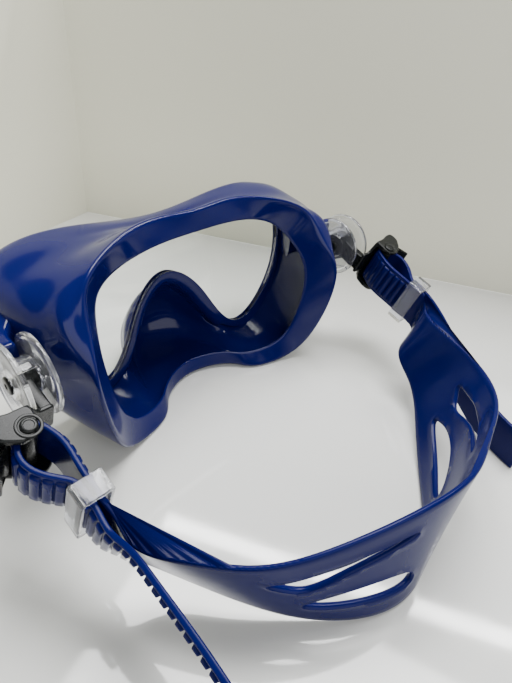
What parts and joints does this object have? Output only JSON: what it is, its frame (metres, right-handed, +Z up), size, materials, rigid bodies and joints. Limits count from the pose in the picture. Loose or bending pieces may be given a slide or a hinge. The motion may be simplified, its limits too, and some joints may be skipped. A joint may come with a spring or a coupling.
{
  "type": "diving mask",
  "caption": "Single-lens diving mask with a soft skirt and nose pocket, swivelling ratchet buckles and an adjustable slotted head strap.",
  "frame": {"origin": "middle of the footprint, on the surface that the mask stands on", "axes": "+X towards the wearer's left, -Y the way the wearer looks, +Z up"},
  "size_m": [0.23, 0.1938, 0.0952],
  "materials": {
    "blue_silicone": "gloss",
    "strap_silicone": "satin",
    "tempered_glass": "gloss",
    "black_plastic": "satin",
    "frame_plastic": "gloss",
    "clear_plastic": "gloss",
    "steel": "satin"
  },
  "bodies": {
    "mask": {"skirt": "blue_silicone", "lens": "tempered_glass", "lens_frame": "frame_plastic", "left_pod_inner_plate": "clear_plastic", "right_pod_inner_plate": "clear_plastic", "left_pod_outer_plate": "clear_plastic", "right_pod_outer_plate": "clear_plastic", "left_swivel_pin": "black_plastic", "right_swivel_pin": "black_plastic"},
    "left_buckle": {"left_buckle_body": "black_plastic", "left_roller_axle": "black_plastic", "left_lever_pin": "steel", "left_lever_spring": "steel", "strap": "strap_silicone"},
    "right_buckle": {"right_buckle_body": "black_plastic", "right_roller_axle": "black_plastic", "right_lever_pin": "steel", "right_lever_spring": "steel"},
    "left_roller": {"left_roller": "black_plastic"},
    "right_roller": {"right_roller": "black_plastic"},
    "left_release_lever": {"left_release_lever": "black_plastic"},
    "right_release_lever": {"right_release_lever": "black_plastic"},
    "left_keeper": {"left_keeper": "clear_plastic"},
    "right_keeper": {"right_keeper": "clear_plastic"}
  },
  "joints": [
    {"name": "left_swivel", "type": "hinge", "parent": "mask", "child": "left_buckle", "pos_m": [0.0903, -0.03284, 0.0584], "axis": [1, 0, 0], "range_deg": [-14, 30]},
    {"name": "right_swivel", "type": "hinge", "parent": "mask", "child": "right_buckle", "pos_m": [-0.0903, -0.03284, 0.0584], "axis": [1, 0, 0], "range_deg": [-14, 30]},
    {"name": "left_roller_spin", "type": "hinge", "parent": "left_buckle", "child": "left_roller", "pos_m": [0.1013, -0.01123, 0.05053], "axis": [0, 0.342, 0.9397], "continuous": true},
    {"name": "right_roller_spin", "type": "hinge", "parent": "right_buckle", "child": "right_roller", "pos_m": [-0.1013, -0.01123, 0.05053], "axis": [0, 0.342, 0.9397], "continuous": true},
    {"name": "left_lever_lift", "type": "hinge", "parent": "left_buckle", "child": "left_release_lever", "pos_m": [0.1104, -0.01555, 0.05211], "axis": [0, -0.342, -0.9397], "range_deg": [0, 14], "stiffness_Nm_per_rad": 0.05},
    {"name": "right_lever_lift", "type": "hinge", "parent": "right_buckle", "child": "right_release_lever", "pos_m": [-0.1104, -0.01555, 0.05211], "axis": [0, 0.342, 0.9397], "range_deg": [0, 14], "stiffness_Nm_per_rad": 0.05},
    {"name": "left_keeper_slide", "type": "slide", "parent": "left_buckle", "child": "left_keeper", "axis": [0, 0.9511, -0.309], "range_m": [-0.001, 0.002]},
    {"name": "right_keeper_slide", "type": "slide", "parent": "left_buckle", "child": "right_keeper", "axis": [0, 0.9511, -0.309], "range_m": [-0.001, 0.002]}
  ],
  "couplings": [
    {"joint": "right_swivel", "follows": "left_swivel", "ratio": 1}
  ]
}
